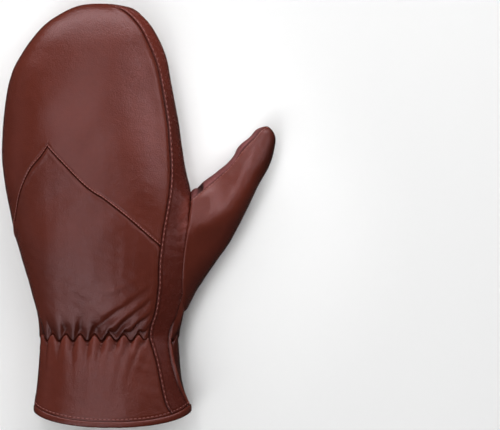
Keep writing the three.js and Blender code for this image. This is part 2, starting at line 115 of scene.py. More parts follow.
# Lengths along are shares of LENGTH, the others of HAND_WIDTH and HAND_DEPTH
HAND = named(["along", "left", "right", "top", "side", "bottom"], [
    [0.043, -0.365, 0.502, 0.9, 0.44, -0.02],
    [0.07, -0.351, 0.474, 0.885, 0.44, -0.01],
    [0.108, -0.34, 0.447, 0.86, 0.435, 0],
    [0.165, -0.33, 0.431, 0.8, 0.42, 0.03],
    [0.199, -0.321, 0.424, 0.76, 0.41, 0.055],
    [0.223, -0.325, 0.433, 0.785, 0.41, 0.045],
    [0.261, -0.343, 0.458, 0.85, 0.42, 0.01],
    [0.319, -0.378, 0.477, 0.93, 0.43, -0.035],
    [0.376, -0.419, 0.488, 0.98, 0.44, -0.06],
    [0.434, -0.461, 0.496, 1, 0.445, -0.07],
    [0.492, -0.491, 0.502, 1, 0.445, -0.075],
    [0.549, -0.515, 0.496, 1, 0.445, -0.075],
    [0.607, -0.532, 0.466, 0.99, 0.445, -0.075],
    [0.664, -0.537, 0.447, 0.975, 0.44, -0.07],
    [0.722, -0.532, 0.425, 0.95, 0.435, -0.06],
    [0.779, -0.515, 0.4, 0.915, 0.43, -0.045],
    [0.837, -0.477, 0.376, 0.865, 0.42, -0.02],
    [0.875, -0.433, 0.356, 0.82, 0.415, 0.005],
    [0.914, -0.378, 0.323, 0.755, 0.41, 0.045],
    [0.952, -0.302, 0.269, 0.66, 0.405, 0.115],
    [0.981, -0.2, 0.206, 0.555, 0.4, 0.215],
    [0.9952, -0.11, 0.132, 0.475, 0.4, 0.31],
    [1, 0.011, 0.011, 0.4, 0.4, 0.4],
])
# Shares of THUMB_REACH, THUMB_RISE and THUMB_DEPTH
THUMB = named(["inner_out", "inner_up", "outer_out", "outer_up", "top", "bottom"], [
    [-0.44, 0.42, -0.25, 0.02, 1.02, 0.12],
    [-0.21, 0.55, -0.045, 0.05, 1.12, 0.04],
    [-0.05, 0.63, 0.115, 0.166, 1.06, 0],
    [0.1, 0.692, 0.305, 0.293, 1.01, 0],
    [0.28, 0.753, 0.508, 0.428, 0.98, 0.03],
    [0.471, 0.821, 0.713, 0.605, 0.9, 0.1],
    [0.62, 0.903, 0.874, 0.769, 0.8, 0.17],
    [0.73, 0.951, 0.983, 0.877, 0.72, 0.24],
    [0.8, 0.985, 1.003, 0.95, 0.63, 0.31],
    [0.908, 1, 0.908, 1, 0.47, 0.47],
])
# Where each seam lies, in degrees round the hand from the thumb's side, at shares of LENGTH
SEAMS = named(["along", "front", "rear", "outer"], [
    [0.043, 38, 10, 220],
    [0.07, 43.9, 14, 220],
    [0.108, 46.2, 21, 221],
    [0.145, 49.5, 28, 222],
    [0.173, 53.2, 31, 222],
    [0.199, 56.7, 30, 222],
    [0.223, 57, 28, 221],
    [0.261, 55, 24, 218],
    [0.319, 53.5, 17, 212],
    [0.376, 53, 10, 204],
    [0.434, 50.3, 4, 196],
    [0.492, 46.7, -1, 192],
    [0.549, 41.6, -5, 190],
    [0.607, 34.5, -10, 189],
    [0.664, 31.6, -13, 189],
    [0.722, 29.4, -14, 189],
    [0.837, 30.5, -14, 190],
    [0.914, 38.5, -11, 193],
    [0.952, 42, -7, 198],
    [0.972, 47.5, 0, 203],
    [0.983, 53, 12, 207],
    [0.991, 61, 32, 211],
    [STRIP_END, 74, 74, 215],
    [1, 78, 78, 216],
])
# How far along the pointed seam is, at each share of the way across the back from the thumb's side
POINTED_SEAM = named(["across", "along"], [
    [0, POINT_FOOT],
    [0.067, 0.439],
    [0.179, 0.48],
    [0.298, 0.529],
    [0.386, 0.571],
    [0.476, 0.6225],
    [POINT_AT, 0.655],
    [0.56, 0.633],
    [0.614, 0.604],
    [0.657, 0.573],
    [0.696, 0.54],
    [0.746, 0.5],
    [0.842, 0.456],
    [1, POINT_FOOT],
])
THUMB_SEAMS = named(["at", "front", "rear"], [[0, 146, 204], [0.4, 143, 204], [0.8, 138, 202], [1, 130, 200]])
# The soft ridge along the thumb, in millimetres, and how far it spreads to each side
THUMB_CREST = named(
    ["x", "y", "height"],
    [[54, -9, 0.5], [64, -6, 3.2], [75, 2, 3.8], [84, 15, 3.0], [90, 29, 2.0], [94, 42, 0]],
)
CREST_SPREAD = 7.5
# How far the pleats lean as they leave the elastic, at each degree round it
LEANS = named(["degrees", "above", "below"], [
    [0, 0, 0],
    [57, 1, 0.9],
    [72, 1, 0.7],
    [88, 0.8, 0.45],
    [100, 0.35, 0.15],
    [125, -0.05, 0],
    [180, -0.1, -0.05],
    [230, 0.15, 0.1],
    [270, -0.1, 0],
    [320, 0.15, -0.1],
    [360, 0, 0],
])

# Pitches of the stitches in millimetres
STITCH_HEM = 2.6
STITCH_BACK = 1.9
STITCH_SIDE = 3.2
STITCH_THUMB = 2.2


def curve(table, target):
    """A smooth curve through one column of a table, read by the table's first column."""
    x, y = next(iter(table.values())), table[target]
    rise = np.diff(y) / np.diff(x)
    slope = np.concatenate([rise[:1], (rise[1:] + rise[:-1]) / 2, rise[-1:]])

    def at(value):
        value = np.asarray(value, float)
        i = np.clip(np.searchsorted(x, value, side="right") - 1, 0, len(x) - 2)
        width = x[i + 1] - x[i]
        f = np.clip((value - x[i]) / width, 0, 1)
        g = 1 - f
        ends = y[i] * (1 + 2 * f) * g * g + y[i + 1] * (3 - 2 * f) * f * f
        return ends + width * f * g * (slope[i] * g - slope[i + 1] * f)

    return at


def part_of(table, low, high):
    """The rows of a table whose first column lies in a range."""
    first = next(iter(table.values()))
    keep = (first >= low) & (first <= high)
    return {name: column[keep] for name, column in table.items()}


def blended(table, at, mirrored):
    """Rows between the rows of a table, on smooth curves that close in a dome at the last row."""
    at = np.asarray(at, float)
    end = len(next(iter(table.values()))) - 1
    i = np.clip(np.floor(at).astype(int), 0, end - 1)
    f = at - i
    result = {}
    for name, column in table.items():
        after = column[-2] if name in mirrored else 2 * column[-1] - column[-2]
        line = np.concatenate([[2 * column[0] - column[1]], column, [after]])
        a, b, c, d = line[i], line[i + 1], line[i + 2], line[i + 3]
        result[name] = b + 0.5 * f * (c - a + f * (2 * a - 5 * b + 4 * c - d + f * (3 * (b - c) + d - a)))
    return result


HAND_END = len(HAND["along"]) - 1
THUMB_END = len(THUMB["top"]) - 1
AT_STEPS = HAND_END * (1 - (1 - np.linspace(0, 1, 6001)) ** 2)
ALONG_STEPS = blended(HAND, AT_STEPS, ["along"])["along"]


def section_at(along):
    """The hand's section at a share of LENGTH."""
    return blended(HAND, np.interp(along, ALONG_STEPS, AT_STEPS), ["along"])


def round_power(value, exponent):
    return np.sign(value) * np.abs(value) ** exponent


def ramp(value, low, high):
    """From zero to one between two values, smooth at both ends."""
    t = np.clip((value - low) / (high - low), 0, 1)
    return t * t * (3 - 2 * t)


def bump(distance, centre, width):
    return np.exp(-(((distance - centre) / width) ** 2))


def mound(points, centre, spread):
    """One at a place seen from above, falling softly round it."""
    return bump(points[..., 0], centre[0], spread[0]) * bump(points[..., 1], centre[1], spread[1])


def band(distance, rise_from, rise_to, fall_from, fall_to):
    """One between two ramps, zero outside them."""
    return ramp(distance, rise_from, rise_to) * (1 - ramp(distance, fall_from, fall_to))


def ripple(s, pitch):
    """A wave along a seam, with a crest at each stitch hole."""
    return np.cos(2 * np.pi * s / pitch)


def length_along(points):
    """How far along a line each of its points lies. More lines may lie side by side."""
    steps = np.linalg.norm(np.diff(points, axis=0), axis=-1)
    return np.cumsum(np.concatenate([0 * steps[:1], steps]), axis=0)


def half_width(section):
    return (section["right"] - section["left"]) / 2 * HAND_WIDTH


def centre_of(section):
    return (section["left"] + section["right"]) / 2 * HAND_WIDTH


def half_depth(section, up):
    """How far the section reaches above its side, or below it where up is negative."""
    share = np.where(up > 0, section["top"] - section["side"], section["side"] - section["bottom"])
    return share * HAND_DEPTH


def section_offset(section, angle):
    """How far a point at an angle round the section lies from the middle of its side."""
    up = np.sin(angle)
    x = half_width(section) * round_power(np.cos(angle), ROUNDNESS)
    return x, half_depth(section, up) * round_power(up, ROUNDNESS)


seam_front = curve(SEAMS, "front")
seam_rear = curve(SEAMS, "rear")
seam_outer = curve(SEAMS, "outer")
before_point = curve(part_of(POINTED_SEAM, 0, POINT_AT), "along")
after_point = curve(part_of(POINTED_SEAM, POINT_AT, 1), "along")
lean_above = curve(LEANS, "above")
lean_below = curve(LEANS, "below")
thumb_front = curve(THUMB_SEAMS, "front")
thumb_rear = curve(THUMB_SEAMS, "rear")


def pointed_seam(across):
    return np.where(across <= POINT_AT, before_point(across), after_point(across))


# The length round the elastic, from the thumb's side to each degree
ELASTIC_DEGREES = np.linspace(0, 360, 3601)
ELASTIC_SECTION = section_offset(section_at(ELASTIC_AT), np.radians(ELASTIC_DEGREES))
ELASTIC_ARC = length_along(np.stack(ELASTIC_SECTION, -1))


def pleats_to(degrees):
    """How many pleats there are from the thumb side round to a degree."""
    turns = np.floor(degrees / 360)
    arc = np.interp(degrees - 360 * turns, ELASTIC_DEGREES, ELASTIC_ARC)
    return GATHER_COUNT * (turns + arc / ELASTIC_ARC[-1]) + GATHER_PHASE


def gathering(degrees):
    """How strongly the elastic gathers the leather there: not on the side strip."""
    front, rear = seam_front(ELASTIC_AT), seam_rear(ELASTIC_AT)
    turn = (degrees - (front + rear) / 2) % 360
    turn = np.where(turn > 180, turn - 360, turn)
    return ramp(np.abs(turn), (front - rear) / 2 - 2, (front - rear) / 2 + 9)


def hand_point(degrees, along, inset=0.0):
    """Points of the hand's outside, or of its inside at an inset."""
    degrees, along = np.broadcast_arrays(degrees, along)
    section = section_at(along)
    angle = np.radians(degrees)
    x, z = section_offset(section, angle)
    above = (section["along"] - ELASTIC_AT) * LENGTH
    if inset > 0:
        drawn = inset + GATHER_LINING * bump(above, 0, LINING_REACH)
        x = x * (1 - 2 * drawn / HAND_WIDTH)
        z = z * (1 - 2 * drawn / HAND_DEPTH)
        up = 0
    else:
        wave = np.cos(2 * np.pi * pleats_to(degrees))
        up = -GATHER_ZIGZAG / 2 * wave * gathering(degrees) * bump(above, 0, ZIGZAG_REACH)
    flare = 1 - ramp(section["along"], HAND["along"][0], ELASTIC_AT)
    drop = HEM_DROP * flare * np.sqrt(np.sin(angle) ** 2 + HEM_CORNER)
    y = (section["along"] * (1 - inset / LENGTH) - REST_AT) * LENGTH - drop + up
    z = np.maximum(section["side"] * HAND_DEPTH + z, inset)
    return np.stack([centre_of(section) + x, y, z], -1)


def thumb_side(row, side):
    """The points of the thumb's inner or outer side, as seen from above."""
    x = THUMB_SIDE + row[side + "_out"] * THUMB_REACH
    y = THUMB_FOOT - REST_AT * LENGTH + row[side + "_up"] * THUMB_RISE
    return np.stack([x, y], -1)


def thumb_point(degrees, at, inset=0.0):
    """Points of the thumb's outside, or of its inside at an inset."""
    degrees, at = np.broadcast_arrays(degrees, at)
    row = blended(THUMB, at, ["inner_up", "outer_up"])
    inner, outer = thumb_side(row, "inner"), thumb_side(row, "outer")
    middle, half = (inner + outer) / 2, (outer - inner) / 2
    width = np.maximum(np.hypot(half[..., 0], half[..., 1]), 0.01)
    depth = (row["top"] - row["bottom"]) / 2 * THUMB_DEPTH
    height = THUMB_LIFT + (row["top"] + row["bottom"]) / 2 * THUMB_DEPTH
    narrow = np.maximum(1 - inset / np.maximum(width, THUMB_DEPTH / 4), 0)
    shallow = np.maximum(1 - inset / np.maximum(depth, THUMB_DEPTH / 5), 0)
    angle = np.radians(degrees)
    across = round_power(np.cos(angle), THUMB_ROUNDNESS) * narrow
    up = round_power(np.sin(angle), THUMB_ROUNDNESS) * shallow
    back = inset * ramp(at, THUMB_END - 3, THUMB_END)
    x = middle[..., 0] + half[..., 0] * across - back * math.cos(THUMB_HEADING)
    y = middle[..., 1] + half[..., 1] * across - back * math.sin(THUMB_HEADING)
    return np.stack([x, y, height + depth * up], -1)


def outside_hand(points):
    """Above zero where a point is outside the hand."""
    along = points[..., 1] / LENGTH + REST_AT
    section = section_at(np.clip(along, HAND["along"][0], 1))
    x = points[..., 0] - centre_of(section)
    z = points[..., 2] - section["side"] * HAND_DEPTH
    power = 2 / ROUNDNESS
    across = np.abs(x / np.maximum(half_width(section), 0.01)) ** power
    return across + np.abs(z / np.maximum(half_depth(section, z), 0.01)) ** power - 1


# Noise with fixed seeds. A line's noise comes back after this many waves
NOISE_WAVES = 512


def line_noise(wavelength, seed):
    """A smooth random wave along a line."""
    values = np.random.default_rng(seed).uniform(-1, 1, NOISE_WAVES)

    def at(s):
        s = np.asarray(s, float) / wavelength + 200
        i = np.floor(s).astype(int)
        f = s - i
        f = f * f * (3 - 2 * f)
        return values[i % NOISE_WAVES] * (1 - f) + values[(i + 1) % NOISE_WAVES] * f

    return at


def wave_field(wavelength, count, seed):
    """A smooth random field in space: a sum of plane waves."""
    own = np.random.default_rng(seed)
    directions = own.normal(size=(count, 3))
    directions /= np.linalg.norm(directions, axis=1)[:, None]
    lengths = wavelength * own.uniform(0.7, 1.5, count)
    phases = own.uniform(0, 2 * np.pi, count)

    def at(points):
        total = np.zeros(points.shape[:-1])
        for direction, length, phase in zip(directions, lengths, phases):
            total += np.sin(points @ direction * 2 * np.pi / length + phase)
        return total / math.sqrt(count)

    return at


broad = wave_field(46, 9, 3)
middling = wave_field(17, 10, 4)
small = wave_field(6, 12, 5)


# Grids. Rows and columns lie this far from an edge in millimetres, then at even steps, and the back
# has more columns beside the pointed seam's point
EDGE_STEPS = np.array([0, 0.12, 0.3, 0.55, 0.85, 1.2, 1.6, 2.05, 2.55, 3.1, 3.7, 4.4, 5.2])
POINT_STEPS = np.array([-1.2, -0.8, -0.4, 0, 0.4, 0.8, 1.2])


def fine_at_ends(length, step, low=True, high=True):
    """Shares from 0 to 1 of a length in millimetres, closer together at its ends."""
    start = EDGE_STEPS if low else EDGE_STEPS[:1]
    stop = EDGE_STEPS if high else EDGE_STEPS[:1]
    count = max(2, round((length - start[-1] - stop[-1]) / step))
    middle = np.linspace(start[-1], length - stop[-1], count + 1)
    return np.concatenate([start[:-1], middle, length - stop[:-1][::-1]]) / length


def back_columns(length):
    """Shares across the back, closer together at its edges and at the point of the pointed seam."""
    return np.unique(np.concatenate([fine_at_ends(length, 1.0), POINT_AT + POINT_STEPS / length]))


def normals_of(grid):
    """The outward normals of a grid of points, whose rows climb and whose columns turn."""
    normals = np.cross(np.gradient(grid, axis=0), np.gradient(grid, axis=1))
    size = np.linalg.norm(normals, axis=-1, keepdims=True)
    return normals / np.maximum(size, 1e-12)


def seam_edge(distance, s, seed, depth=0.6, puff=0.3, pucker=0.22):
    """A sewn edge: it rolls down into the seam, swells beside it and puckers a little."""
    roll = -depth * np.exp(-((distance / 0.38) ** 1.4))
    swell = puff * bump(distance, 2.6, 2.2) * (1 - bump(distance, 0, 1.0))
    wave = line_noise(2.4, seed)(s + 0.35 * distance) + 0.6 * line_noise(1.4, seed + 1)(s - 0.3 * distance)
    strength = 0.55 + 0.45 * line_noise(14, seed + 2)(s)
    gathered = pucker * wave * strength * np.exp(-distance / 2.6) * (1 - np.exp(-distance / 0.4))
    return roll + swell + gathered


class Grid:
    """A panel's outside and inside, and how far each point lies from the panel's edges in millimetres."""

    def __init__(self, points, inside):
        self.points = points
        self.inside = inside
        self.normals = normals_of(points)
        self.from_first = length_along(np.swapaxes(points, 0, 1)).T
        self.from_last = self.from_first[:, -1:] - self.from_first
        self.from_foot = length_along(points)
        self.from_head = self.from_foot[-1:] - self.from_foot
        # Painted shading in the leather's colour, for each point of the outside.
        self.painted_shading = np.zeros(points.shape[:2])

    def edge(self, side):
        """How far each point lies from one of the four edges, and how far along that edge."""
        if side == "first":
            return self.from_first, self.from_foot[:, :1]
        if side == "last":
            return self.from_last, self.from_foot[:, -1:]
        if side == "foot":
            return self.from_foot, length_along(self.points[0])[None, :]
        return self.from_head, length_along(self.points[-1])[None, :]

    def raise_by(self, height):
        self.points = self.points + self.normals * height[..., None]

    def paint_shading(self, light):
        """Paints light and shade into the leather's colour: above zero a painted highlight, below zero
        painted shade as dark as in a fold.
        """
        self.painted_shading = self.painted_shading + light

    def sew(self, side, seed, dark=0.0, groove=0.35, fade=1.0, **shape):
        """Rolls an edge into its seam, and paints shade into the groove that it makes."""
        distance, s = self.edge(side)
        self.raise_by(fade * seam_edge(distance, s, seed, **shape))
        self.paint_shading(-fade * dark * bump(distance, 0, groove))

    def soften(self, broadly, middlingly, slightly):
        """Soft unevenness at three sizes."""
        points = self.points
        self.raise_by(broadly * broad(points) + middlingly * middling(points) + slightly * small(points))

    def settle(self):
        """Ends the relief: keeps off the floor, and takes the normals anew."""
        self.points[..., 2] = np.maximum(self.points[..., 2], 0)
        self.normals = normals_of(self.points)


# Materials
class Nodes:
    """A material with its nodes. Inputs are values or other nodes' outputs."""

    def __init__(self, name):
        self.material = bpy.data.materials.new(name)
        self.material.use_nodes = True
        self.tree = self.material.node_tree
        self.shader = self.tree.nodes["Principled BSDF"]

    def fill(self, node, inputs):
        for key, value in inputs.items():
            if isinstance(value, bpy.types.NodeSocket):
                self.tree.links.new(value, node.inputs[key])
            else:
                node.inputs[key].default_value = value

    def add(self, kind, inputs=None, output=0, **settings):
        """One output of a new node."""
        made = self.tree.nodes.new("ShaderNode" + kind)
        for key, value in settings.items():
            setattr(made, key, value)
        self.fill(made, inputs or {})
        return made.outputs[output]

    def place(self):
        return self.add("TexCoord", output="Object")

    def noise(self, place, scale, detail, roughness=0.5, output="Fac"):
        inputs = {"Vector": place, "Scale": scale, "Detail": detail, "Roughness": roughness}
        return self.add("TexNoise", inputs, output)

    def mix(self, factor, a, b):
        return self.add("Mix", {"Factor": factor, "A": a, "B": b}, "Result", data_type="RGBA")

    def spread(self, value, low, high, to_low=0.0, to_high=1.0):
        """A value's range from low to high, mapped to another range."""
        inputs = {"Value": value, "From Min": low, "From Max": high, "To Min": to_low, "To Max": to_high}
        return self.add("MapRange", inputs)

    def multiply_add(self, value, factor, more):
        return self.add("Math", {0: value, 1: factor, 2: more}, operation="MULTIPLY_ADD")

    def bump(self, strength, depth, height):
        """Relief of a depth in millimetres."""
        normal = self.add("Bump", {"Strength": strength, "Distance": depth * MM, "Height": height})
        self.fill(self.shader, {"Normal": normal})

    def finish(self, **inputs):
        """Sets the shader's inputs, whose names have an underscore for each space."""
        self.fill(self.shader, {key.replace("_", " "): value for key, value in inputs.items()})
        return self.material


def linear(r, g, b):
    """The linear colour of an 8-bit one."""
    channel = [v / 255 for v in (r, g, b)]
    return [v / 12.92 if v <= 0.04045 else ((v + 0.055) / 1.055) ** 2.4 for v in channel] + [1]


def scaled(colour, factor):
    return [min(1, v * factor) for v in colour[:3]] + [1]


def leather_colour(nodes, place, mottle, dark, light):
    """Two tones in soft clouds, with painted shading: painted shade as in folds and grooves, and painted
    highlights.
    """
    clouds = nodes.noise(place, 28, 4, 0.55)
    tone = nodes.multiply_add(mottle, 0.3, nodes.add("Math", {0: clouds, 1: 0.7}, operation="MULTIPLY"))
    base = nodes.mix(nodes.spread(tone, 0.3, 0.7), dark, light)
    # This attribute holds painted shading: below zero it darkens towards painted shade, above zero it
    # lightens towards a painted highlight.
    painted_shading = nodes.add("Attribute", output="Fac", attribute_name="painted_shading")
    with_painted_shade = nodes.mix(nodes.spread(painted_shading, 0, -1), base, scaled(dark, 0.35))
    return nodes.mix(nodes.spread(painted_shading, 0, 1), with_painted_shade, scaled(light, 2.2))


def leather_height(nodes, place, grain_size):
    """Pebbled grain with fine creases, on soft unevenness."""
    scale = 1 / (grain_size * MM)
    warp = nodes.noise(place, scale * 0.6, 2, output="Color")
    bend = (0.6 * MM,) * 3
    bent = nodes.add("VectorMath", {0: warp, 1: bend, 2: place}, operation="MULTIPLY_ADD")
    voronoi = {"Vector": bent, "Scale": scale, "Smoothness": 0.5}
    pebbles = nodes.add("TexVoronoi", voronoi, "Distance", feature="SMOOTH_F1")
    grain = nodes.multiply_add(pebbles, -0.8, nodes.noise(place, scale * 2.4, 3, 0.6))
    return nodes.multiply_add(nodes.noise(place, 170, 3), 1.4, grain)


def leather(name, dark, light, grain_size, grain_depth, roughness):
    """Satin leather. The grain's size and depth are in millimetres."""
    nodes = Nodes(name)
    place = nodes.place()
    mottle = nodes.noise(place, 260, 3, 0.6)
    nodes.bump(1.0, grain_depth, leather_height(nodes, place, grain_size))
    return nodes.finish(
        Base_Color=leather_colour(nodes, place, mottle, dark, light),
        Roughness=nodes.spread(mottle, 0.3, 0.7, roughness - 0.03, roughness + 0.04),
        Specular_IOR_Level=0.35,
        Specular_Tint=(1.0, 0.7, 0.75, 1),
    )


def suede(name, dark, light):
    """The rough inside of the leather."""
    nodes = Nodes(name)
    nap = nodes.noise(nodes.place(), 1400, 5, 0.7)
    nodes.bump(0.7, 0.5, nap)
    return nodes.finish(Base_Color=nodes.mix(nap, dark, light), Roughness=0.92, Sheen_Weight=0.3)


def thread(name, dark, light):
    """Twisted sewing thread."""
    nodes = Nodes(name)
    wave = {"Vector": nodes.place(), "Scale": 1500, "Distortion": 1.5}
    twist = nodes.add("TexWave", wave, "Fac")
    nodes.bump(0.5, 0.1, twist)
    return nodes.finish(Base_Color=nodes.mix(twist, dark, light), Roughness=0.55)


LEATHER = leather("wine_leather", linear(79, 33, 24), linear(90, 39, 29), 0.85, 0.09, 0.19)
# The side strip's leather is darker than the back's: partly its own tone and partly painted shade, as the
# strip turns from the lights.
STRIP_LEATHER = leather("wine_leather_strip", linear(70, 27, 20), linear(81, 33, 25), 0.8, 0.08, 0.26)
GRAIN_LEATHER = leather("wine_leather_grained", linear(88, 41, 39), linear(122, 70, 69), 1.3, 0.4, 0.4)
LINING = suede("suede_inside", linear(70, 42, 34), linear(104, 68, 56))
THREAD = thread("wine_thread", linear(120, 62, 56), linear(165, 100, 92))


# Pieces
def mesh_of(name, vertices, faces, materials):
    """A mesh, from places in millimetres."""
    mesh = bpy.data.meshes.new(name)
    mesh.from_pydata((np.asarray(vertices) * MM).tolist(), [], faces)
    for material in materials:
        mesh.materials.append(material)
    return mesh


def object_of(name, vertices, faces, materials, looks=None, layers=None):
    """A smooth-shaded piece that rides on the mitten. layers holds values for each vertex."""
    mesh = mesh_of(name, vertices, faces, materials)
    for layer, values in (layers or {}).items():
        attribute = mesh.attributes.new(layer, "FLOAT", "POINT")
        attribute.data.foreach_set("value", np.asarray(values, np.float32))
    if looks is not None:
        mesh.polygons.foreach_set("material_index", np.asarray(looks, np.int32))
    mesh.polygons.foreach_set("use_smooth", np.ones(len(mesh.polygons), bool))
    work = bmesh.new()
    work.from_mesh(mesh)
    bmesh.ops.remove_doubles(work, verts=work.verts, dist=0.002 * MM)
    work.to_mesh(mesh)
    work.free()
    mesh.set_sharp_from_angle(angle=math.radians(55))
    obj = add_object(name, mesh)
    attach(obj, "root")
    return obj


def quads(a, b, c, d):
    return np.stack([a, b, c, d], -1).reshape(-1, 4)


def rim(line, lower, turned):
    """Faces from a line of the outside to the line of the inside below it."""
    faces = quads(line[:-1], line[1:], lower[1:], lower[:-1])
    return faces[:, ::-1] if turned else faces


def wall(grid, node, material):
    """A leather wall: the grid's outside, its inside and the four edges between them."""
    grid.settle()
    rows, columns = grid.points.shape[:2]
    ids = np.arange(rows * columns).reshape(rows, columns)
    under = ids + rows * columns
    outer = quads(ids[:-1, :-1], ids[1:, :-1], ids[1:, 1:], ids[:-1, 1:])
    inner = quads(under[:-1, :-1], under[:-1, 1:], under[1:, 1:], under[1:, :-1])
    rims = [
        rim(ids[0], under[0], False),
        rim(ids[-1], under[-1], True),
        rim(ids[:, 0], under[:, 0], True),
        rim(ids[:, -1], under[:, -1], False),
    ]
    vertices = np.concatenate([grid.points.reshape(-1, 3), grid.inside.reshape(-1, 3)])
    faces = np.concatenate([outer, inner, *rims]).tolist()
    looks = np.concatenate([np.zeros(len(outer)), np.ones(len(inner)), np.zeros(sum(map(len, rims)))])
    # The outside's painted shading; the inside has none.
    layers = {"painted_shading": np.concatenate([grid.painted_shading.ravel(), np.zeros(rows * columns)])}
    obj = object_of(node + "_leather", vertices, faces, [material, LINING], looks, layers)
    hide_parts(node)
    grid.piece = obj
    return grid


# Where the thumb leaves the hand
def thumb_start(degrees):
    """Where each line along the thumb leaves the hand."""
    ats = np.linspace(0, THUMB_END - 0.5, 900)
    inside = outside_hand(thumb_point(degrees[None, :], ats[:, None])) < 0
    last = np.where(inside.any(0), len(ats) - 1 - np.argmax(inside[::-1], 0), 0)
    return ats[np.minimum(last + 1, len(ats) - 1)]


SEAM_DEGREES = np.linspace(4, 146, 72)
THUMB_SEAM_LINE = thumb_point(SEAM_DEGREES, thumb_start(SEAM_DEGREES))
# How far the leather is drawn up beside that seam, in millimetres
DRAWN_UP = 7


def from_thumb_seam(points):
    """How far points lie from the seam round the thumb's foot, as seen from above."""
    return np.linalg.norm(points[..., None, :2] - THUMB_SEAM_LINE[:, :2], axis=-1).min(-1)


def draw_up(grid, share):
    """Draws the leather up beside the thumb's seam, so that the hand and the thumb run together."""
    y, z = grid.points[..., 1], grid.points[..., 2]
    along_seam = ramp(y, -48, -10) * (1 - 0.6 * ramp(y, 12, 20))
    grid.points[..., 2] = z + DRAWN_UP * along_seam * ramp(z, 12, 24) * share


# The hand's panels
PANEL_START = HAND["along"][0] + (HEM_BAND + SEAM_GAP) / LENGTH
# How far the pleats' fine rows reach from the elastic, and its zigzag's finest rows
GATHERS_BELOW = 14
GATHERS_ABOVE = 26
ZIGZAG_ROWS = 3
GATHER_STOP = ELASTIC_AT + GATHERS_ABOVE / LENGTH
TIP_START = 0.94


def gap_degrees(degrees, along):
    """The angle that half of a seam's gap takes up there."""
    step = hand_point(degrees + 0.5, along) - hand_point(degrees - 0.5, along)
    per_degree = np.maximum(np.linalg.norm(step, axis=-1), 1e-3)
    return np.minimum(SEAM_GAP / 2 / per_degree, 25)


def between(start, stop, share, along):
    """Degrees round the hand at a share of the way from one seam to another."""
    low = start + gap_degrees(start, along)
    high = stop - gap_degrees(stop, along)
    return low + (high - low) * share


def cuff_rows(step):
    """Shares of LENGTH from the hem up to the end of the gathers, closest at the elastic."""
    edge = (PANEL_START - ELASTIC_AT) * LENGTH + EDGE_STEPS
    count = max(2, round((-GATHERS_BELOW - edge[-1]) / step))
    cuff = np.linspace(edge[-1], -GATHERS_BELOW, count + 1)[1:-1]
    below = np.linspace(-GATHERS_BELOW, -ZIGZAG_ROWS, 18)
    zigzag = np.linspace(-ZIGZAG_ROWS, ZIGZAG_ROWS, 25)[1:-1]
    above = np.linspace(ZIGZAG_ROWS, GATHERS_ABOVE, 34)
    return ELASTIC_AT + np.concatenate([edge, cuff, below, zigzag, above]) / LENGTH


def tip_rows(stop, count):
    """Shares of LENGTH over the fingertip, closer together towards its end."""
    return TIP_START + (stop - TIP_START) * np.sin(np.linspace(0, np.pi / 2, count))[1:]


def full_length(columns, step, count, tip):
    """Rows from the hem over the fingertip: count sets those between the gathers and the tip."""
    rows = np.concatenate([cuff_rows(step), np.linspace(GATHER_STOP, TIP_START, count)[1:], tip])
    return rows[:, None] + 0 * columns[None, :]


def pleat_phase(degrees, above):
    """Where each point lies in the run of pleats, which lean and waver a little."""
    turn = degrees % 360
    lean = np.where(above > 0, lean_above(turn), -lean_below(turn)) * np.abs(above)
    phase = pleats_to(degrees) + lean / GATHER_PITCH
    return phase + 0.09 * np.sin(2 * np.pi * phase + 0.6) + 0.05 * line_noise(5, 23)(above + 9 * phase)


def gathers(degrees, along):
    """The pleats' height above the plain leather, and their painted shading: painted shade in creases and
    tucks, painted highlights on ridges.
    """
    above = (along - ELASTIC_AT) * LENGTH
    away = np.abs(above)
    up = above > 0
    phase = pleat_phase(degrees, above)
    own = line_noise(1.0, 21)(phase)
    leaning = ramp(np.abs(lean_above(degrees % 360)), 0.25, 0.9)
    top = np.abs(np.cos(np.pi * phase))
    foot = np.abs(np.sin(np.pi * phase))
    fade_above = np.exp(-((away / (9.5 + 2.5 * own + 6.0 * leaning)) ** 1.5))
    fade_below = np.exp(-((away / (8 + 2 * own + 2 * leaning)) ** 1.3))
    groove = bump(above, 0, 0.5)

    upper = (2.3 + 0.8 * own + 1.3 * leaning) * top**0.65 - 1.15 - 0.5 * leaning
    lower = (1.8 + 0.4 * own) * foot**0.75 - 0.95
    rise = 1 - np.exp(-((above / np.where(up, 1.9, 0.9)) ** 2))
    height = np.where(up, upper * fade_above, lower * fade_below) * rise - 1.3 * groove

    # Painted shade: in the pleats' creases, in the dark tucks above the zigzag and in a band above the
    # elastic.
    crease = np.where(up, (1 - top) ** 4 * fade_above, (1 - foot) ** 4 * fade_below)
    tuck = np.where(up, 1.05 * np.exp(-above / 4) * top**1.3, 0)
    hollow = np.where(up, 0.35 * bump(above, 5, 5) * ramp(above, 0, 2), 0)
    dark = np.maximum(np.maximum(0.7 * crease, 0.5 * groove), tuck) + hollow
    # Painted highlights: on the tops of the cuff's pleats and along the ridges of the leaning folds.
    ridge = np.where(up, 0, foot**4 * np.exp(-away / 4.5))
    clear = ramp(above, 3, 7) * np.exp(-away / 12)
    painted_fold_highlight = np.where(up, 0.9 * leaning * clear * np.abs(np.cos(np.pi * (phase + 0.06))) ** 14, 0)
    strength = gathering(degrees)
    return strength * height, strength * (0.38 * ridge + painted_fold_highlight - dark)


def hand_panel(start, stop, share, along):
    """A panel between two seams, with pleats at the elastic and soft unevenness."""
    degrees = between(start, stop, share, along)
    grid = Grid(hand_point(degrees, along), hand_point(degrees, along, WALL))
    height, painted_shading = gathers(degrees, along)
    grid.soften(0.35, 0.1, 0.05 * (1.2 - ramp(along, 0.3, 0.75)))
    grid.raise_by(height)
    grid.paint_shading(painted_shading)
    return grid


